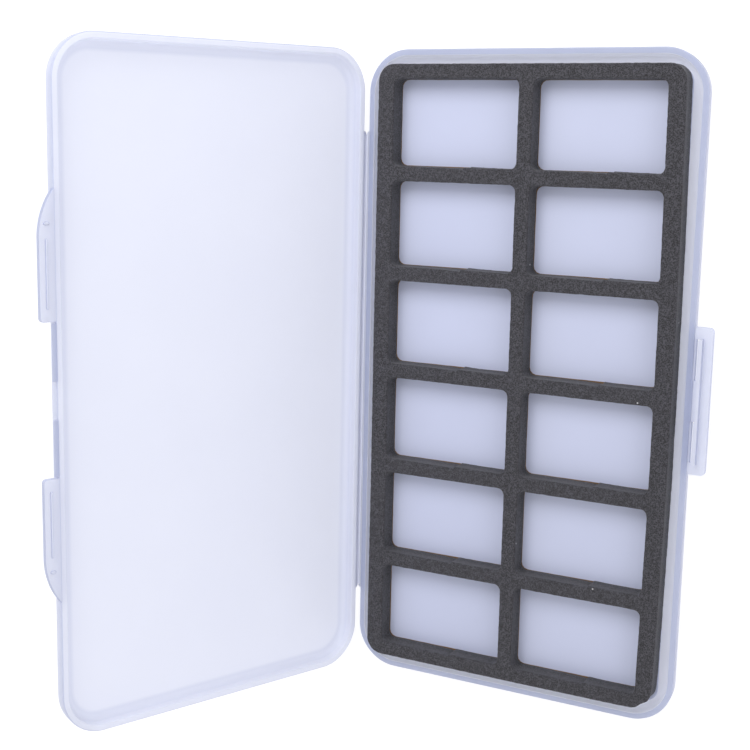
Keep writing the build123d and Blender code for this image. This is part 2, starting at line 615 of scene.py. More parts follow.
def arc(centre: Point, radius: float, start: float, end: float, steps: int) -> Outline:
    """Trace an arc.

    Args:
        centre: Its centre.
        radius: Its radius.
        start: The angle that it starts at, in degrees.
        end: The angle that it ends at, in degrees.
        steps: Number of steps along it.

    Returns:
        The arc's points, with both ends.
    """
    angles = [math.radians(start + (end - start) * k / steps) for k in range(steps + 1)]
    return [(centre[0] + radius * math.cos(a), centre[1] + radius * math.sin(a)) for a in angles]


def block(centre_x: float, centre_y: float, size_x: float, size_y: float) -> Outline:
    """Trace a rectangle, anticlockwise.

    Args:
        centre_x: X of its middle.
        centre_y: Y of its middle.
        size_x: Size along X.
        size_y: Size along Y.

    Returns:
        Its four corners.
    """
    half_x = size_x / 2
    half_y = size_y / 2
    return [
        (centre_x - half_x, centre_y - half_y),
        (centre_x + half_x, centre_y - half_y),
        (centre_x + half_x, centre_y + half_y),
        (centre_x - half_x, centre_y + half_y),
    ]


def prism(mesh: bmesh.types.BMesh, outline: Outline, low: float, high: float) -> None:
    """Add a closed prism of an XY outline between two heights."""
    rings = [[Vector((x, y, z)) for x, y in outline] for z in (low, high)]
    loft(mesh, rings, closed_ends=True)


def new_piece(name: str, mesh: bmesh.types.BMesh, place: Matrix | None = None) -> bpy.types.Object:
    """Make an object at the origin from a mesh, with its place in the mesh.

    Args:
        name: The piece's name.
        mesh: The mesh, which is freed.
        place: Placement applied to the mesh first.

    Returns:
        The new object, smooth shaded.
    """
    if place is not None:
        mesh.transform(place)
    bmesh.ops.recalc_face_normals(mesh, faces=mesh.faces)
    data = bpy.data.meshes.new(name)
    mesh.to_mesh(data)
    mesh.free()
    data.shade_smooth()
    piece = bpy.data.objects.new(name, data)
    bpy.context.scene.collection.objects.link(piece)
    return piece


def prism_piece(name: str, outline: Outline, span: Point, place: Matrix) -> bpy.types.Object:
    """Make an object that is one closed prism.

    Args:
        name: The object's name.
        outline: Its XY outline.
        span: Its lowest and highest Z.
        place: Placement applied to its mesh.

    Returns:
        The new object.
    """
    mesh = bmesh.new()
    prism(mesh, outline, *span)
    return new_piece(name, mesh, place)


def open_wall(name: str, rings: list[list[Vector]]) -> bpy.types.Object:
    """Make an object from rings, open at both ends, with the face at its first ring turned up.

    Args:
        name: The object's name.
        rings: Rings with the same number of points, from the top down.

    Returns:
        The new object.
    """
    if len({len(ring) for ring in rings}) > 1:
        raise ValueError(f"the rings of {name} differ in their points")
    mesh = bmesh.new()
    loft(mesh, rings, closed_ends=False)
    mesh.normal_update()
    mesh.faces.ensure_lookup_table()
    if mesh.faces[0].normal.z < 0:
        bmesh.ops.reverse_faces(mesh, faces=mesh.faces)
    data = bpy.data.meshes.new(name)
    mesh.to_mesh(data)
    mesh.free()
    wall = bpy.data.objects.new(name, data)
    bpy.context.scene.collection.objects.link(wall)
    return wall


def bake(piece: bpy.types.Object) -> None:
    """Turn a piece's modifiers into plain mesh.

    Args:
        piece: The piece.
    """
    graph = bpy.context.evaluated_depsgraph_get()
    baked = bpy.data.meshes.new_from_object(piece.evaluated_get(graph), depsgraph=graph)
    piece.modifiers.clear()
    old = piece.data
    piece.data = baked
    bpy.data.meshes.remove(old)
    baked.name = piece.name


def combine(piece: bpy.types.Object, tool: bpy.types.Object, operation: str) -> None:
    """Cut or join a piece with a tool shape, which is used up.

    Args:
        piece: The piece that changes.
        tool: The other shape.
        operation: DIFFERENCE or UNION.
    """
    modifier = piece.modifiers.new("combine", "BOOLEAN")
    modifier.operation = operation
    modifier.solver = "EXACT"
    modifier.object = tool
    bake(piece)
    bpy.data.objects.remove(tool)


def even_shading(piece: bpy.types.Object) -> None:
    """Let a piece's large faces lead its shading, and bake it.

    Args:
        piece: The piece.
    """
    even = piece.modifiers.new("even shading", "WEIGHTED_NORMAL")
    even.keep_sharp = True
    bake(piece)


def round_edges(piece: bpy.types.Object, width: float, segments: int = 3) -> None:
    """Round a piece's sharp edges and bake the result.

    Args:
        piece: The piece.
        width: How far each round reaches from its edge, in metres.
        segments: Number of steps across each round.
    """
    edges = piece.modifiers.new("round edges", "BEVEL")
    edges.width = width
    edges.segments = segments
    edges.limit_method = "ANGLE"
    edges.angle_limit = math.radians(35)
    edges.harden_normals = False
    even_shading(piece)


def dress(piece: bpy.types.Object, material: bpy.types.Material, node: str) -> None:
    """Give a piece its material, and hide the frame node that it stands for.

    Args:
        piece: The finished piece.
        material: Its material.
        node: The frame node that it stands for.
    """
    piece.data.materials.clear()
    piece.data.materials.append(material)
    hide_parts(node)
    log.info("%s: %d faces, stands for %s", piece.name, len(piece.data.polygons), node)


def store_vertex_values(piece: bpy.types.Object, name: str, values: list[float]) -> None:
    """Store one number for each vertex, which the material reads."""
    attribute = piece.data.attributes.new(name, "FLOAT", "POINT")
    attribute.data.foreach_set("value", values)


def mark_edges(
    piece: bpy.types.Object, place: Matrix, looks: dict[float, float], edge: float
) -> None:
    """Mark painted blue-grey shade: set values on flat faces, one value on everything else,
    so edges and sides come out darker.

    Args:
        piece: The piece.
        place: The placement of the rim plane that heights are measured from.
        looks: Height below the rim of each flat face, and its value.
        edge: The value of edges and sides.
    """
    back = place.inverted()
    values = []
    for vertex in piece.data.vertices:
        height = (back @ vertex.co).z
        near = [look for level, look in looks.items() if abs(height - level) < FLAT_TOLERANCE]
        values.append(near[0] if near else edge)
    store_vertex_values(piece, "wall_depth", values)


# ---------------------------------------------------------------- the two trays


@dataclass(frozen=True)
class TrayPaintedShade:
    """How much painted blue-grey shade each part of a tray's wall gets, from 0 to 1; it also stands
    for deeper plastic.
    """

    edge: float
    rim: float
    wall: float
    fillet: float
    band: float


@dataclass
class Tray:
    """One half of the moulded case: a shallow tray with drafted walls and rounded edges."""

    sizes: CaseSizes
    half: Half
    looks: TrayPaintedShade
    inside_round: float = 1.5 * MM
    outside_round: float = 1.6 * MM
    rim_round: float = 0.3 * MM
    land_height: float = 1.0 * MM
    land_length: float = 139.7 * MM
    flat_ring: float = 0.6 * MM
    band_width: float = 1.0 * MM
    # Painted blue-grey shade on the underside and the outside wall.
    underside_look: float = 0.1
    outside_look: float = 0.25
    land_start: float = 0.02 * MM
    land_root: float = 0.4 * MM
    arc_steps: int = 6
    corner_steps: int = 20
    side_step: float = 6.0 * MM

    def section(self) -> list[tuple[float, float, float]]:
        """Trace the wall's section from the underside, over the rim, to the cavity floor.

        Returns:
            Points of inset from the rim's outer edge, depth below the rim, and how deep the
            plastic looks there, from 0 to 1.
        """
        slope = math.tan(self.sizes.draft)
        tilt = math.degrees(self.sizes.draft)
        depth = self.sizes.half_depth
        cavity = depth - self.sizes.floor
        outer_z = depth - self.outside_round
        outer_i = self.outside_round / math.cos(self.sizes.draft) + outer_z * slope
        steps = self.arc_steps
        outer = arc((outer_i, outer_z), self.outside_round, 90, 180 - tilt, steps)
        inner_z = cavity - self.inside_round
        inner_i = self.sizes.wall + self.inside_round / math.cos(self.sizes.draft) + inner_z * slope
        inner = arc((inner_i, inner_z), self.inside_round, 180 - tilt, 90, steps)
        edge = self.rim_round
        rim_out = arc((edge, edge), edge, 180, 270, steps)
        rim_in = arc((self.sizes.wall - edge, edge), edge, 270, 360, steps)
        looks = self.looks
        points = [(outer_i + self.flat_ring, depth, self.underside_look)]
        points += [(i, z, self.outside_look) for i, z in outer]
        points += [(i, z, looks.edge) for i, z in rim_out[:-1]]
        points += [(i, z, looks.rim) for i, z in rim_out[-1:] + rim_in[:2]]
        points += [(i, z, looks.wall) for i, z in rim_in[2:] + inner[:1]]
        points += [(i, z, looks.fillet) for i, z in inner[1:]]
        points += [(inner_i + self.flat_ring, cavity, looks.band)]
        points += [(inner_i + self.flat_ring + self.band_width, cavity, 0.0)]
        return points

    def build(self) -> bpy.types.Object:
        """Build the tray with its hinge land.

        Returns:
            The finished tray, riding on its own half.
        """
        middle = self.sizes.wall_offset + self.sizes.width / 2
        rings = []
        shade_values = []
        for inset, depth, look in self.section():
            outline = rounded_rectangle(
                self.sizes.width - 2 * inset,
                self.sizes.length - 2 * inset,
                self.sizes.corner_radius - inset,
                self.side_step,
                self.corner_steps,
            )
            rings.append([Vector((x + middle, y, depth)) for x, y in outline])
            shade_values += [look] * len(outline)
        mesh = bmesh.new()
        loft(mesh, rings, closed_ends=True)
        reach = self.sizes.land_reach + self.land_root
        land = block(
            self.sizes.wall_offset - self.sizes.land_reach + reach / 2, 0, reach, self.land_length
        )
        prism(mesh, land, self.land_start, self.land_height)
        shade_values += [self.looks.wall] * 2 * len(land)
        name = "base_tray_shell" if self.half is Half.BASE else "lid_tray_shell"
        tray = new_piece(name, mesh, rim_matrix(self.sizes, self.half))
        store_vertex_values(tray, "wall_depth", shade_values)
        even_shading(tray)
        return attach(tray, self.half.value)


# ---------------------------------------------------------------- the living hinge


@dataclass
class HingeFilm:
    """The thin web of the living hinge, V-notched at both ends, with a crease down its middle."""

    sizes: CaseSizes
    length: float = 139.7 * MM
    radius: float = 0.4 * MM
    thickness: float = 0.3 * MM
    notch: float = 1.2 * MM
    crease_share: float = 0.45
    crease_fade: float = 4.0
    crease_shade_fade: float = 3.5
    pad_start: float = 34.0 * MM
    pad_end: float = 49.0 * MM
    pad_height: float = 0.09 * MM
    arc_steps: int = 8
    run_steps: int = 3
    length_steps: int = 140

    def section(self) -> list[tuple[Vector, Vector]]:
        """Trace the middle of the film across the hinge.

        Returns:
            Points in the XZ plane and the unit normals there, from the base's land to the lid's.
        """
        axis = self.sizes.hinge_axis
        reach = self.sizes.wall_offset - self.sizes.land_reach
        turn = math.pi - self.sizes.opening
        along = Vector((math.cos(self.sizes.opening), 0, math.sin(self.sizes.opening)))
        outward = Vector((-math.sin(self.sizes.opening), 0, math.cos(self.sizes.opening)))
        down = Vector((0, 0, -1))
        points = []
        for k in range(self.run_steps):
            shift = reach * (1 - k / self.run_steps)
            points.append((axis + Vector((shift, 0, 0)) + down * self.radius, down))
        for k in range(self.arc_steps + 1):
            angle = -math.pi / 2 - turn * k / self.arc_steps
            normal = Vector((math.cos(angle), 0, math.sin(angle)))
            points.append((axis + normal * self.radius, normal))
        for k in range(1, self.run_steps + 1):
            shift = reach * k / self.run_steps
            points.append((axis + outward * self.radius + along * shift, outward))
        return points

    def build(self) -> bpy.types.Object:
        """Build the film.

        Returns:
            The film, on its own and not joined to either half.
        """
        section = self.section()
        last = len(section) - 1
        mesh = bmesh.new()
        sheets = []
        crease_shades = []
        for side in (-1, 1):
            sheet = []
            for k, (point, normal) in enumerate(section):
                share = abs(2 * k / last - 1)
                thin = 1 - self.crease_share * max(0.0, 1 - share * self.crease_fade)
                end = self.length / 2 - self.notch * (1 - share)
                row = []
                for j in range(self.length_steps + 1):
                    y = end * (2 * j / self.length_steps - 1)
                    height = self.thickness / 2 * thin
                    on_pad = self.pad_start < y < self.pad_end and k > last / 2 + 1
                    if side < 0 and on_pad:
                        height += self.pad_height
                    row.append(mesh.verts.new(point + normal * (side * height) + Vector((0, y, 0))))
                    # Painted shade: greyer towards the middle of the fold.
                    crease_shades.append(max(0.0, 1 - share * self.crease_shade_fade))
                sheet.append(row)
            sheets.append(sheet)
        lower, upper = sheets
        for sheet in sheets:
            for row, other in zip(sheet, sheet[1:]):
                for j in range(self.length_steps):
                    mesh.faces.new((row[j], row[j + 1], other[j + 1], other[j]))
        for k in (0, last):
            for j in range(self.length_steps):
                mesh.faces.new((lower[k][j], lower[k][j + 1], upper[k][j + 1], upper[k][j]))
        for j in (0, self.length_steps):
            for k in range(last):
                mesh.faces.new((lower[k][j], lower[k + 1][j], upper[k + 1][j], upper[k][j]))
        film = new_piece("hinge_web", mesh)
        store_vertex_values(film, "crease", crease_shades)
        return film

    def join(self, film: bpy.types.Object) -> None:
        """Bake the finished film's placement into its mesh.

        Args:
            film: The film, with its material on.
        """
        section = self.section()
        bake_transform(film)


# ---------------------------------------------------------------- latch and thumb tabs


@dataclass
class LatchTab:
    """The flange on the base, with two windows, a standing catch lip and its two hooks."""

    sizes: CaseSizes
    length: float = 40.4 * MM
    reach: float = 4.9 * MM
    thickness: float = 1.4 * MM
    drop: float = 0.4 * MM
    corner: float = 1.2 * MM
    lip_thickness: float = 0.8 * MM
    lip_gap: float = 1.7 * MM
    lip_rise: float = 1.4 * MM
    lip_overrun: float = 0.3 * MM
    hook_reach: float = 0.3 * MM
    hook_height: float = 0.35 * MM
    window_length: float = 11.3 * MM
    window_spacing: float = 22.5 * MM
    window_clearance: float = 0.5 * MM
    window_over: float = 0.3 * MM
    window_under: float = 1.0 * MM
    hook_root: float = 0.2 * MM
    step_width: float = 0.5 * MM
    step_top: float = 0.05 * MM
    embed: float = 0.35 * MM
    edge_round: float = 0.14 * MM
    corner_steps: int = 6
    # Painted shade: edges and sides of the flange and lip get a darker blue-grey than their flat
    # faces.
    flange_look: float = 0.1
    lip_look: float = 0.0
    edge_look: float = 0.7

    def flange_outline(self) -> Outline:
        """Trace the flange, with its two outer corners rounded.

        Returns:
            The flange's outline, anticlockwise.
        """
        wall = self.sizes.far_wall
        centre_x = wall + self.reach - self.corner
        half = self.length / 2
        outline: Outline = [(wall - self.embed, half), (wall - self.embed, -half)]
        for sign, start in ((-1, -90), (1, 0)):
            centre = (centre_x, sign * (half - self.corner))
            outline += arc(centre, self.corner, start, start + 90, self.corner_steps)
        return outline

    def build(self) -> bpy.types.Object:
        """Build the latch tab.

        Returns:
            The finished tab, riding on the base.
        """
        wall = self.sizes.far_wall
        place = rim_matrix(self.sizes, Half.BASE)
        underside = self.drop + self.thickness
        core = self.drop + self.thickness / 2
        tab = prism_piece("latch_tab", self.flange_outline(), (self.drop, underside), place)
        lip_length = self.window_spacing + self.window_length + 2 * self.lip_overrun
        lip = block(wall + self.lip_gap + self.lip_thickness / 2, 0, self.lip_thickness, lip_length)
        combine(tab, prism_piece("lip tool", lip, (-self.lip_rise, core), place), "UNION")
        centres = (-self.window_spacing / 2, self.window_spacing / 2)
        hook_x = wall + self.lip_gap - self.hook_reach / 2 + self.hook_root / 2
        hook_span = (-self.lip_rise, -self.lip_rise + self.hook_height)
        for middle in centres:
            hook = block(hook_x, middle, self.hook_reach + self.hook_root, self.window_length)
            combine(tab, prism_piece("hook tool", hook, hook_span, place), "UNION")
        low = wall + self.window_clearance
        high = wall + self.lip_gap
        window_span = (self.drop - self.window_over, underside + self.window_under)
        for middle in centres:
            window = block((low + high) / 2, middle, high - low, self.window_length)
            combine(tab, prism_piece("window tool", window, window_span, place), "DIFFERENCE")
        step = block(wall, 0, self.step_width, self.window_spacing - self.window_length)
        combine(tab, prism_piece("step tool", step, (self.step_top, core), place), "UNION")
        round_edges(tab, self.edge_round)
        looks = {self.drop: self.flange_look, -self.lip_rise: self.lip_look}
        mark_edges(tab, place, looks, self.edge_look)
        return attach(tab, "base")


@dataclass
class LatchBeads:
    """Two half-round beads on the lid's latch wall, which snap under the catch lip."""

    sizes: CaseSizes
    reach: float = 1.15 * MM
    height: float = 0.7 * MM
    start: float = 5.0 * MM
    end: float = 20.05 * MM
    embed: float = 0.35 * MM
    edge_round: float = 0.08 * MM
    # Painted shade: the beads are painted a dark blue-grey all over.
    look: float = 0.75

    def build(self) -> bpy.types.Object:
        """Build both beads as one piece.

        Returns:
            The finished beads, riding on the lid.
        """
        wall = self.sizes.far_wall
        profile = [
            (-self.embed, TOP_GAP),
            (self.reach * 0.72, TOP_GAP),
            (self.reach * 0.93, self.height * 0.14),
            (self.reach, self.height * 0.34),
            (self.reach * 0.86, self.height * 0.58),
            (self.reach * 0.4, self.height),
            (-self.embed, self.height),
        ]
        mesh = bmesh.new()
        for low, high in ((self.start, self.end), (-self.end, -self.start)):
            rings = [[Vector((wall + r, y, z)) for r, z in profile] for y in (low, high)]
            loft(mesh, rings, closed_ends=True)
        beads = new_piece("latch_beads", mesh, rim_matrix(self.sizes, Half.LID))
        round_edges(beads, self.edge_round, segments=2)
        store_vertex_values(beads, "wall_depth", [self.look] * len(beads.data.vertices))
        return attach(beads, "lid")


class TabSide(Enum):
    """The two thumb tabs, each with its direction along the hinge and its node."""

    UPPER = (1, "lid_thumb_tab_upper")
    LOWER = (-1, "lid_thumb_tab_lower")

    @property
    def direction(self) -> int:
        """Direction along the hinge."""
        return self.value[0]

    @property
    def node(self) -> str:
        """The frame node of this tab."""
        return self.value[1]


@dataclass
class ThumbTab:
    """A thumb tab on the lid: square at the latch, curved back to the wall at its far end."""

    sizes: CaseSizes
    side: TabSide
    start: float = 20.45 * MM
    straight: float = 21.3 * MM
    taper: float = 12.4 * MM
    reach: float = 4.2 * MM
    thickness: float = 1.4 * MM
    corner: float = 1.0 * MM
    rib_width: float = 0.7 * MM
    rib_height: float = 0.4 * MM
    rib_inset: float = 2.2 * MM
    rib_start: float = 3.3 * MM
    rib_end: float = 0.1 * MM
    pip_radius: float = 0.7 * MM
    pip_height: float = 0.3 * MM
    pip_inset: float = 2.1 * MM
    pip_offset: float = 3.7 * MM
    embed: float = 0.35 * MM
    edge_round: float = 0.2 * MM
    corner_steps: int = 6
    curve_steps: int = 20
    crown_steps: int = 5
    crown_share: float = 0.35
    rib_flat: float = 0.01 * MM
    rib_step: float = 4.0 * MM
    rib_end_steps: int = 6
    pip_along: float = 1.25
    pip_across: float = 0.75
    pip_steps: int = 20
    # Painted shade: the tab's edges and sides get a darker blue-grey than its top and the crests of
    # its rib and pip.
    top_look: float = 0.08
    crest_look: float = 0.0
    edge_look: float = 0.75

    def outline(self) -> Outline:
        """Trace the tab from its root at the square end round to its root at the curved end.

        Returns:
            The tab's outline, anticlockwise.
        """
        wall = self.sizes.far_wall
        edge = wall + self.reach
        straight_end = self.start + self.straight
        points: Outline = [(wall - self.embed, self.start)]
        centre = (edge - self.corner, self.start + self.corner)
        points += arc(centre, self.corner, -90, 0, self.corner_steps)
        radius = (self.taper**2 + self.reach**2) / (2 * self.reach)
        sweep = math.degrees(math.asin(self.taper / radius))
        points += arc((edge - radius, straight_end), radius, 0, sweep, self.curve_steps)
        points.append((wall - self.embed, straight_end + self.taper))
        return points

    def rib(self, mesh: bmesh.types.BMesh) -> None:
        """Add the grip rib, a raised bar with a rounded top and ends.

        Args:
            mesh: The mesh that gets it.
        """
        length = self.straight - self.rib_start - self.rib_end
        at_x = self.sizes.far_wall + self.rib_inset
        at_y = self.start + self.rib_start + length / 2
        rings = []
        for k in range(self.crown_steps + 1):
            angle = math.radians(90 * k / self.crown_steps)
            inset = self.rib_width * self.crown_share * (1 - math.cos(angle))
            height = self.rib_height * math.sin(angle)
            width = self.rib_width - 2 * inset
            outline = rounded_rectangle(
                width,
                length - 2 * inset,
                width / 2 - self.rib_flat,
                self.rib_step,
                self.rib_end_steps,
            )
            rings.append([Vector((x + at_x, y + at_y, DETAIL_ROOT - height)) for x, y in outline])
        loft(mesh, rings, closed_ends=True)

    def pip(self, mesh: bmesh.types.BMesh) -> None:
        """Add the moulded pip, a low oval button.

        Args:
            mesh: The mesh that gets it.
        """
        at_x = self.sizes.far_wall + self.pip_inset
        at_y = self.start + self.straight + self.pip_offset
        levels = ((-DETAIL_ROOT, 1.0), (self.pip_height * 0.7, 0.9), (self.pip_height, 0.6))
        rings = []
        for height, share in levels:
            ring = []
            for k in range(self.pip_steps):
                angle = 2 * math.pi * k / self.pip_steps
                x = self.pip_radius * self.pip_along * share * math.cos(angle)
                y = self.pip_radius * self.pip_across * share * math.sin(angle)
                ring.append(Vector((at_x + x, at_y + y, -height)))
            rings.append(ring)
        loft(mesh, rings, closed_ends=True)

    def build(self) -> bpy.types.Object:
        """Build the tab with its rib and pip.

        Returns:
            The finished tab, riding on the lid.
        """
        mesh = bmesh.new()
        prism(mesh, self.outline(), TOP_GAP, self.thickness)
        mirror = Matrix.Diagonal((1, self.side.direction, 1, 1))
        mesh.transform(mirror)
        place = rim_matrix(self.sizes, Half.LID)
        tab = new_piece(f"thumb_tab_{self.side.name.lower()}", mesh, place)
        round_edges(tab, self.edge_round)
        details = bmesh.new()
        self.rib(details)
        self.pip(details)
        details.transform(mirror)
        bmesh.ops.recalc_face_normals(details, faces=details.faces)
        details.transform(place)
        details.from_mesh(tab.data)
        details.to_mesh(tab.data)
        details.free()
        tab.data.shade_smooth()
        looks = {
            TOP_GAP: self.top_look,
            DETAIL_ROOT - self.rib_height: self.crest_look,
            -self.pip_height: self.crest_look,
        }
        mark_edges(tab, place, looks, self.edge_look)
        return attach(tab, "lid")


# ---------------------------------------------------------------- geometry node models


@dataclass
class NodeModel:
    """A Geometry Nodes tree with named inputs, baked to a plain mesh once it is set."""

    name: str
    tree: bpy.types.NodeTree = field(init=False)
    values: dict[str, object] = field(default_factory=dict)
    source: bpy.types.Node = field(init=False)

    def __post_init__(self) -> None:
        """Make the empty tree."""
        self.tree = bpy.data.node_groups.new(self.name, "GeometryNodeTree")
        for way in ("INPUT", "OUTPUT"):
            self.tree.interface.new_socket(
                "Geometry", in_out=way, socket_type="NodeSocketGeometry"
            )
        self.source = self.tree.nodes.new("NodeGroupInput")

    def size(self, name: str, kind: str, value: object) -> bpy.types.NodeSocket:
        """Add a named input.

        Args:
            name: What the input sets.
            kind: Float, Int, Object or Material.
            value: Its value in this model.

        Returns:
            The socket that gives the value inside the tree.
        """
        socket = f"NodeSocket{kind}"
        item = self.tree.interface.new_socket(name, in_out="INPUT", socket_type=socket)
        self.values[item.identifier] = value
        return self.source.outputs[name]

    def add(self, kind: str, inputs: dict | None = None, **settings: object) -> bpy.types.Node:
        """Add a node to the tree."""
        return add_node(self.tree, kind, inputs, **settings)

    def wander(
        self,
        geometry: bpy.types.NodeSocket,
        wavelength: float,
        reach: bpy.types.NodeSocket,
        seed: bpy.types.NodeSocket,
    ) -> bpy.types.NodeSocket:
        """Push points about in the XY plane with smooth noise.

        Args:
            geometry: What is pushed.
            wavelength: Rough distance between the waves, in metres.
            reach: The furthest push, in metres.
            seed: A number that picks the noise.

        Returns:
            The pushed geometry.
        """
        noise = self.add(
            "ShaderNodeTexNoise",
            {"W": seed, "Scale": 1 / wavelength, "Detail": 2.0},
            noise_dimensions="4D",
        ).outputs["Color"]
        centred = self.add(
            "ShaderNodeVectorMath", {0: noise, 1: (0.5, 0.5, 0.5)}, operation="SUBTRACT"
        ).outputs[0]
        flat = self.add(
            "ShaderNodeVectorMath", {0: centred, 1: (2.0, 2.0, 0.0)}, operation="MULTIPLY"
        ).outputs[0]
        push = self.add(
            "ShaderNodeVectorMath", {0: flat, "Scale": reach}, operation="SCALE"
        ).outputs[0]
        return self.add(
            "GeometryNodeSetPosition", {"Geometry": geometry, "Offset": push}
        ).outputs[0]

    def finish(self, geometry: bpy.types.NodeSocket, piece: bpy.types.Object) -> None:
        """End the tree in Realize Instances and Set Material, and bake it onto a piece.

        Args:
            geometry: The last geometry of the tree.
            piece: The object that gets the result.
        """
        material = self.source.outputs["Material"]
        whole = self.add("GeometryNodeRealizeInstances", {0: geometry}).outputs[0]
        coated = self.add("GeometryNodeSetMaterial", {0: whole, "Material": material}).outputs[0]
        self.add("NodeGroupOutput", {0: coated})
        modifier = piece.modifiers.new(self.name, "NODES")
        modifier.node_group = self.tree
        for identifier, value in self.values.items():
            modifier[identifier] = value
        bake(piece)


@dataclass
class FoamGrid:
    """The die-cut foam with its wells, its blade joins and its ragged cut edges."""

    sizes: CaseSizes
    columns: int = 2
    rows: int = 6
    side_border: float = 5.2 * MM
    end_border: float = 4.35 * MM
    bar: float = 4.25 * MM
    outer_corner: float = 5.0 * MM
    well_corner: float = 2.0 * MM
    edge_round: float = 0.4 * MM
    waist: float = 0.16 * MM
    flare: float = 0.08 * MM
    point_step: float = 0.6 * MM
    ragged: float = 0.15 * MM
    warp: float = 0.35 * MM
    join_share: float = 0.08
    join_step: float = 0.26 * MM
    join_fade: float = 7.0 * MM
    join_notch: float = 0.35 * MM
    spring_middle: float = 0.3 * MM
    spring_ends: float = 0.85 * MM
    spring_power: float = 1.5
    torn_extent: float = 9 * MM
    torn_pull: float = 1.1 * MM
    torn_width: float = 3.4 * MM
    wave_height: float = 0.28 * MM
    wave_length: float = 1.1 * MM
    wave_width: float = 3 * MM
    ragged_wave: float = 1.3 * MM
    warp_wave: float = 55 * MM
    round_steps: int = 5
    well_corner_steps: int = 8
    outer_corner_steps: int = 16
    seed: float = 3.7

    @cached_property
    def low(self) -> Vector:
        """Lowest corner of the foam."""
        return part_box("foam_grid")[0]

    @cached_property
    def high(self) -> Vector:
        """Highest corner of the foam."""
        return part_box("foam_grid")[1]

    @cached_property
    def well_width(self) -> float:
        """Width of one well."""
        free = self.high.x - self.low.x - 2 * self.side_border - (self.columns - 1) * self.bar
        return free / self.columns

    @cached_property
    def well_length(self) -> float:
        """Length of one well."""
        free = self.high.y - self.low.y - 2 * self.end_border - (self.rows - 1) * self.bar
        return free / self.rows

    def wall_section(self) -> list[tuple[float, float]]:
        """Trace a cut wall from the top face to the underside.

        Returns:
            Points of distance back from the cut line into the foam, and height.
        """
        top = self.high.z
        foot = self.low.z
        rounding = self.edge_round
        span = top - foot
        points = [(rounding * 2.4, top)]
        for k in range(self.round_steps + 1):
            angle = math.radians(90 - 90 * k / self.round_steps)
            back = rounding * (1 - math.cos(angle))
            points.append((back, top - rounding * (1 - math.sin(angle))))
        for share in (0.2, 0.4, 0.6, 0.8):
            belly = self.waist * math.sin(math.pi * share)
            points.append((belly, top - rounding - (span - rounding) * share))
        points.append((-self.flare, foot + 0.1 * MM))
        points.append((-self.flare * 0.6, foot))
        return points

    def blade_join(self, x: float, y: float) -> float:
        """Give the small step in a well's lower wall where the blade's two ends meet.

        Args:
            x: Distance across the well from its middle.
            y: Distance along the well from its middle.

        Returns:
            How far the wall is shifted along the well there.
        """
        if y > -self.well_length / 2 + self.well_corner:
            return 0.0
        gap = x - self.join_share * self.well_width
        sign = 1.0 if gap > 0 else -1.0
        notch = -0.5 if abs(gap) < self.join_notch else 0.0
        fade = math.exp(-abs(gap) / self.join_fade)
        return self.join_step * (sign * fade + notch)

    def outward(self, x: float, y: float) -> Point:
        """Give the direction away from a well's middle, square to its rounded outline.

        Args:
            x: Distance across the well from its middle.
            y: Distance along the well from its middle.

        Returns:
            The direction, of length 1 on the outline's corners and sides.
        """
        over_x = max(0.0, abs(x) - (self.well_width / 2 - self.well_corner))
        over_y = max(0.0, abs(y) - (self.well_length / 2 - self.well_corner))
        size = math.hypot(over_x, over_y) or 1.0
        return (math.copysign(over_x / size, x), math.copysign(over_y / size, y))

    def well_wall(self) -> bpy.types.Object:
        """Build the wall of one well about the origin, open at its top and its foot.

        Returns:
            The wall, which the node tree repeats.
        """
        outline = rounded_rectangle(
            self.well_width,
            self.well_length,
            self.well_corner,
            self.point_step,
            self.well_corner_steps,
        )
        rings = []
        for back, height in self.wall_section():
            ring = []
            for x, y in outline:
                away_x, away_y = self.outward(x, y)
                grown_y = y + back * away_y
                ring.append(Vector((x + back * away_x, grown_y + self.blade_join(x, y), height)))
            rings.append(ring)
        return open_wall("well wall", rings)

    def torn_corner(self, x: float, y: float) -> Point:
        """Pull in the corner by the latch's lower end, where the die has cut it short and wavy.

        Args:
            x: X of a point on the outside wall.
            y: Y of that point.

        Returns:
            Where the point goes.
        """
        across = (self.high.x - x - (y - self.low.y)) / math.sqrt(2)
        from_corner = (self.high.x - x + y - self.low.y) / math.sqrt(2)
        if from_corner > self.torn_extent:
            return (x, y)
        pull = self.torn_pull * math.exp(-((across / self.torn_width) ** 2))
        wave = self.wave_height * math.sin(across / self.wave_length)
        pull += wave * math.exp(-((across / self.wave_width) ** 2))
        return (x - pull / math.sqrt(2), y + pull / math.sqrt(2))

    def outer_wall(self) -> bpy.types.Object:
        """Build the foam's outside wall, open at its top and its foot.

        Returns:
            The wall, which becomes the whole foam.
        """
        width = self.high.x - self.low.x
        length = self.high.y - self.low.y
        rings = []
        for back, height in self.wall_section():
            inset = max(back, 0.0) + self.warp * 0.5
            outline = rounded_rectangle(
                width - 2 * inset,
                length - 2 * inset,
                self.outer_corner - inset,
                self.point_step,
                self.outer_corner_steps,
            )
            rings.append([Vector((*self.torn_corner(x, y), height)) for x, y in outline])
        return open_wall("foam_sheet", rings)

    def repeat(self, model: NodeModel, one_well: bpy.types.NodeSocket) -> bpy.types.NodeSocket:
        """Repeat one well's shape over the grid of wells, inside a node tree.

        Args:
            model: The model that gets the nodes.
            one_well: The shape of one well about the origin.

        Returns:
            The shapes of all wells.
        """
        column_span = (self.columns - 1) * (self.well_width + self.bar)
        row_span = (self.rows - 1) * (self.well_length + self.bar)
        grid_inputs = {
            "Size X": model.size("Column Span", "Float", column_span),
            "Size Y": model.size("Row Span", "Float", row_span),
            "Vertices X": model.size("Columns", "Int", self.columns),
            "Vertices Y": model.size("Rows", "Int", self.rows),
        }
        grid = model.add("GeometryNodeMeshGrid", grid_inputs).outputs[0]
        placed = {"Points": grid, "Instance": one_well}
        wells = model.add("GeometryNodeInstanceOnPoints", placed).outputs[0]
        return model.add("GeometryNodeRealizeInstances", {0: wells}).outputs[0]

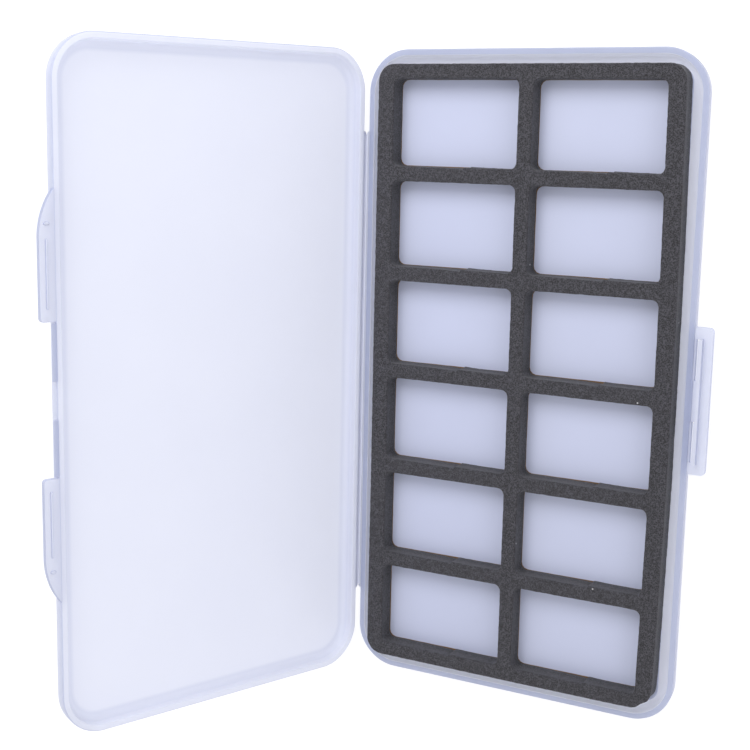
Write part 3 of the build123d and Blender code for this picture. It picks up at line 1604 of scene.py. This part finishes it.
    def settle(self, piece: bpy.types.Object) -> None:
        """Pull a piece's latch side in, as the sheet has sprung away from the wall at its ends.

        Args:
            piece: The foam, or the glue under it.
        """
        span = self.high.y - self.low.y
        for vertex in piece.data.vertices:
            across = max(0.0, vertex.co.x / self.high.x)
            along = 2 * (vertex.co.y - self.low.y) / span - 1
            pull = self.spring_middle + self.spring_ends * along**2
            vertex.co.x -= pull * across**self.spring_power

    def build(self, material: bpy.types.Material) -> bpy.types.Object:
        """Build the foam with a Geometry Nodes tree.

        Args:
            material: The foam's material.

        Returns:
            The finished foam, riding on the base.
        """
        foam = self.outer_wall()
        wall = self.well_wall()
        model = NodeModel("foam well grid")
        well = model.size("Well Wall", "Object", wall)
        top = model.size("Top Height", "Float", self.high.z)
        foot = model.size("Foot Height", "Float", self.low.z)
        ragged = model.size("Ragged Reach", "Float", self.ragged)
        warp = model.size("Warp Reach", "Float", self.warp * 0.5)
        seed = model.size("Seed", "Float", self.seed)
        model.size("Material", "Material", material)
        one_well = model.add("GeometryNodeObjectInfo", {"Object": well}).outputs["Geometry"]
        both = [self.repeat(model, one_well), model.source.outputs["Geometry"]]
        walls = model.add("GeometryNodeJoinGeometry", {0: both}).outputs[0]
        warped = model.wander(walls, self.warp_wave, warp, seed)
        cut = model.wander(warped, self.ragged_wave, ragged, seed)
        faces_beside = model.add("GeometryNodeInputMeshEdgeNeighbors").outputs[0]
        open_edge = model.add(
            "FunctionNodeCompare", {2: faces_beside, 3: 1}, data_type="INT", operation="EQUAL"
        ).outputs[0]
        position = model.add("GeometryNodeInputPosition").outputs[0]
        height = model.add("ShaderNodeSeparateXYZ", {0: position}).outputs["Z"]
        half_sum = model.add("ShaderNodeMath", {0: top, 1: foot}, operation="ADD").outputs[0]
        middle = model.add("ShaderNodeMath", {0: half_sum, 1: 0.5}, operation="MULTIPLY").outputs[0]
        covers = []
        for level, side in ((top, "GREATER_THAN"), (foot, "LESS_THAN")):
            here = model.add(
                "FunctionNodeCompare", {0: height, 1: middle}, data_type="FLOAT", operation=side
            ).outputs[0]
            chosen = model.add(
                "FunctionNodeBooleanMath", {0: open_edge, 1: here}, operation="AND"
            ).outputs[0]
            loops = model.add("GeometryNodeMeshToCurve", {0: cut, "Selection": chosen}).outputs[0]
            filled = model.add("GeometryNodeFillCurve", {0: loops}, mode="TRIANGLES").outputs[0]
            lift = model.add("ShaderNodeCombineXYZ", {"Z": level}).outputs[0]
            cover = model.add(
                "GeometryNodeSetPosition", {"Geometry": filled, "Offset": lift}
            ).outputs[0]
            covers.append(cover)
        underside = model.add("GeometryNodeFlipFaces", {0: covers[1]}).outputs[0]
        joined = model.add("GeometryNodeJoinGeometry", {0: [underside, covers[0], cut]}).outputs[0]
        seal = {0: joined, "Distance": MERGE_DISTANCE}
        sealed = model.add("GeometryNodeMergeByDistance", seal).outputs[0]
        smooth = model.add("GeometryNodeSetShadeSmooth", {0: sealed}).outputs[0]
        model.finish(smooth, foam)
        bpy.data.objects.remove(wall)
        self.settle(foam)
        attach(foam, "base")
        return foam


@dataclass
class GlueFilm:
    """The adhesive under the foam, which shows as an uneven line inside each well."""

    foam: FoamGrid
    squeeze: float = 0.14 * MM
    wobble: float = 0.09 * MM
    wave: float = 4.0 * MM
    point_step: float = 1.0 * MM
    corner_inset: float = 0.7 * MM
    corner_steps: int = 6
    seed: float = 8.2

    def outline(
        self,
        model: NodeModel,
        width: bpy.types.NodeSocket,
        length: bpy.types.NodeSocket,
        radius: float,
    ) -> bpy.types.NodeSocket:
        """Add a rounded rectangle curve with evenly spaced points.

        Args:
            model: The model that gets the nodes.
            width: Size along X.
            length: Size along Y.
            radius: Corner radius, in metres.

        Returns:
            The curve.
        """
        square = model.add(
            "GeometryNodeCurvePrimitiveQuadrilateral", {"Width": width, "Height": length}
        ).outputs[0]
        corners = {0: square, "Radius": radius, "Count": self.corner_steps}
        rounded = model.add("GeometryNodeFilletCurve", corners, mode="POLY").outputs[0]
        return model.add(
            "GeometryNodeResampleCurve", {0: rounded, "Length": self.point_step}, mode="LENGTH"
        ).outputs[0]

    def build(self, material: bpy.types.Material) -> bpy.types.Object:
        """Build the adhesive with a Geometry Nodes tree.

        Args:
            material: The adhesive's material.

        Returns:
            The finished adhesive, riding on the base.
        """
        low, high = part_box("foam_adhesive")
        foam = self.foam
        model = NodeModel("glue film")
        width = model.size("Width", "Float", high.x - low.x)
        length = model.size("Length", "Float", high.y - low.y)
        hole_x = model.size("Opening Width", "Float", foam.well_width - 2 * self.squeeze)
        hole_y = model.size("Opening Length", "Float", foam.well_length - 2 * self.squeeze)
        thick = model.size("Thickness", "Float", high.z - low.z)
        foot = model.size("Foot Height", "Float", low.z)
        wobble = model.size("Wobble", "Float", self.wobble)
        seed = model.size("Seed", "Float", self.seed)
        model.size("Material", "Material", material)
        sheet = self.outline(model, width, length, foam.outer_corner - self.corner_inset)
        opening = self.outline(model, hole_x, hole_y, foam.well_corner)
        uneven = model.wander(foam.repeat(model, opening), self.wave, wobble, seed)
        curves = model.add("GeometryNodeJoinGeometry", {0: [uneven, sheet]}).outputs[0]
        filled = model.add("GeometryNodeFillCurve", {0: curves}, mode="TRIANGLES").outputs[0]
        raise_by = model.add("ShaderNodeCombineXYZ", {"Z": thick}).outputs[0]
        raised = model.add(
            "GeometryNodeExtrudeMesh",
            {"Mesh": filled, "Offset": raise_by, "Offset Scale": 1.0, "Individual": False},
            mode="FACES",
        ).outputs[0]
        underside = model.add("GeometryNodeFlipFaces", {0: filled}).outputs[0]
        joined = model.add("GeometryNodeJoinGeometry", {0: [underside, raised]}).outputs[0]
        seal = {0: joined, "Distance": MERGE_DISTANCE}
        sealed = model.add("GeometryNodeMergeByDistance", seal).outputs[0]
        lift = model.add("ShaderNodeCombineXYZ", {"Z": foot}).outputs[0]
        move = {"Geometry": sealed, "Offset": lift}
        placed = model.add("GeometryNodeSetPosition", move).outputs[0]
        glue = bpy.data.objects.new("glue_film", bpy.data.meshes.new("glue_film"))
        bpy.context.scene.collection.objects.link(glue)
        model.finish(placed, glue)
        foam.settle(glue)
        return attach(glue, "base")


@dataclass
class LinerSheet:
    """The white sheet under the foam, with softened edges."""

    edge_round: float = 0.08 * MM
    corner: float = 4.0 * MM
    corner_steps: int = 10
    side_step: float = 8 * MM

    def build(self) -> bpy.types.Object:
        """Build the liner.

        Returns:
            The finished liner, riding on the base.
        """
        low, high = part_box("liner_sheet")
        rings = []
        rise = high.z - low.z
        for inset, height in (
            (self.edge_round, 0.0),
            (0.0, self.edge_round),
            (0.0, rise - self.edge_round),
            (self.edge_round, rise),
            (self.edge_round * 4, rise),
        ):
            outline = rounded_rectangle(
                high.x - low.x - 2 * inset,
                high.y - low.y - 2 * inset,
                self.corner - inset,
                self.side_step,
                self.corner_steps,
            )
            rings.append([Vector((x, y, low.z + height)) for x, y in outline])
        mesh = bmesh.new()
        loft(mesh, rings, closed_ends=True)
        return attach(new_piece("liner_white", mesh), "base")


# ---------------------------------------------------------------- studio


@dataclass(frozen=True)
class SoftLight:
    """One soft rectangular light: where it hangs and its size in metres, its watts and tint."""

    name: str
    place: tuple[float, float, float]
    size: Point
    watts: float
    tint: str

    def hang(self, target: Vector) -> None:
        """Hang the light so that it faces the case.

        Args:
            target: The point that it faces.
        """
        data = bpy.data.lights.new(self.name, "AREA")
        data.shape = "RECTANGLE"
        data.size, data.size_y = self.size
        data.energy = self.watts
        data.color = linear_colour(self.tint)[:3]
        lamp = bpy.data.objects.new(self.name, data)
        lamp.location = self.place
        lamp.rotation_mode = "QUATERNION"
        lamp.rotation_quaternion = (target - Vector(self.place)).to_track_quat("-Z", "Y")
        bpy.context.scene.collection.objects.link(lamp)


@dataclass
class Studio:
    """The light table, the soft lights and the camera."""

    target: Vector = field(default_factory=lambda: Vector((-0.0487, -0.0034, 0.0)))
    distance: float = 0.4196
    azimuth: float = math.radians(20.75)
    elevation: float = math.radians(60.58)
    roll: float = math.radians(1.2)
    lens_mm: float = 65.94
    sensor_mm: float = 36.0
    clip_start: float = 0.01
    sky_colour: str = "#FFFFFF"
    sky_strength: float = 0.76
    table_size: float = 6.0
    table_gap: float = 0.1 * MM
    lights: tuple[SoftLight, ...] = (
        SoftLight("key", (-0.10, 0.38, 0.42), (0.3, 0.3), 1.6, "#FFFFFF"),
        SoftLight("fill", (0.80, -0.05, 0.42), (0.6, 0.6), 1.5, "#FAFBFF"),
    )

    def camera(self) -> None:
        """Set the camera at its viewing angle."""
        back = Vector(
            (
                math.cos(self.elevation) * math.cos(self.azimuth),
                math.cos(self.elevation) * math.sin(self.azimuth),
                math.sin(self.elevation),
            )
        )
        right = (-back).cross(Vector((0, 1, 0))).normalized()
        up = back.cross(right)
        turned_right = right * math.cos(self.roll) + up * math.sin(self.roll)
        turned_up = back.cross(turned_right)
        data = bpy.data.cameras.new("camera")
        data.lens = self.lens_mm
        data.sensor_width = self.sensor_mm
        data.clip_start = self.clip_start
        eye = bpy.data.objects.new("camera", data)
        bpy.context.scene.collection.objects.link(eye)
        pose = Matrix((turned_right, turned_up, back)).transposed().to_4x4()
        pose.translation = self.target + back * self.distance
        eye.matrix_world = pose
        bpy.context.scene.camera = eye

    def table(self) -> None:
        """Lay the light table that the case stands on."""
        mesh = bmesh.new()
        outline = block(0, 0, self.table_size, self.table_size)
        mesh.faces.new([mesh.verts.new((x, y, -self.table_gap)) for x, y in outline])
        floor = new_piece("light_table", mesh)
        floor.data.materials.append(LightTable().build())

    def build(self) -> None:
        """Set up the world, light table, lights and camera."""
        world = bpy.data.worlds.new("studio")
        world.use_nodes = True
        sky = world.node_tree.nodes["Background"]
        sky.inputs["Color"].default_value = linear_colour(self.sky_colour)
        sky.inputs["Strength"].default_value = self.sky_strength
        bpy.context.scene.world = world
        self.table()
        for light in self.lights:
            light.hang(self.target)
        self.camera()
        view = bpy.context.scene.view_settings
        view.view_transform = "Standard"
        view.look = "None"


# ---------------------------------------------------------------- main


def main() -> None:
    """Build and dress every sub-assembly, then the studio."""
    logging.basicConfig(level=logging.INFO, format="%(message)s")
    sizes = CaseSizes()
    plastic = MouldedPolypropylene().build()
    # Painted shade: the base's rim and edges are painted deep blue-grey for the shadowed floor seen
    # through them; the lid's rim, lit from behind, stays light, and its floor gets a painted band
    # by the fillet.
    base_painted_shade = TrayPaintedShade(edge=0.85, rim=0.95, wall=0.0, fillet=0.0, band=0.0)
    lid_painted_shade = TrayPaintedShade(edge=0.7, rim=0.0, wall=0.1, fillet=0.3, band=0.35)
    for half, looks in ((Half.BASE, base_painted_shade), (Half.LID, lid_painted_shade)):
        tray = Tray(sizes, half, looks).build()
        node = "base_tray" if half is Half.BASE else "lid_shell"
        dress(tray, plastic, node)
    hinge = HingeFilm(sizes)
    film = hinge.build()
    dress(film, FlexedPolypropylene().build(), "hinge_film")
    hinge.join(film)
    dress(LatchTab(sizes).build(), plastic, "base_latch_tab")
    dress(LatchBeads(sizes).build(), plastic, "lid_latch_beads")
    for side in TabSide:
        dress(ThumbTab(sizes, side).build(), plastic, side.node)
    foam_finish = DieCutFoam().build()
    grid = FoamGrid(sizes)
    dress(grid.build(foam_finish), foam_finish, "foam_grid")
    glue_finish = SqueezedAdhesive().build()
    dress(GlueFilm(grid).build(glue_finish), glue_finish, "foam_adhesive")
    dress(LinerSheet().build(), CalenderedSheet().build(), "liner_sheet")
    Studio().build()


if __name__ == "__main__":
    main()
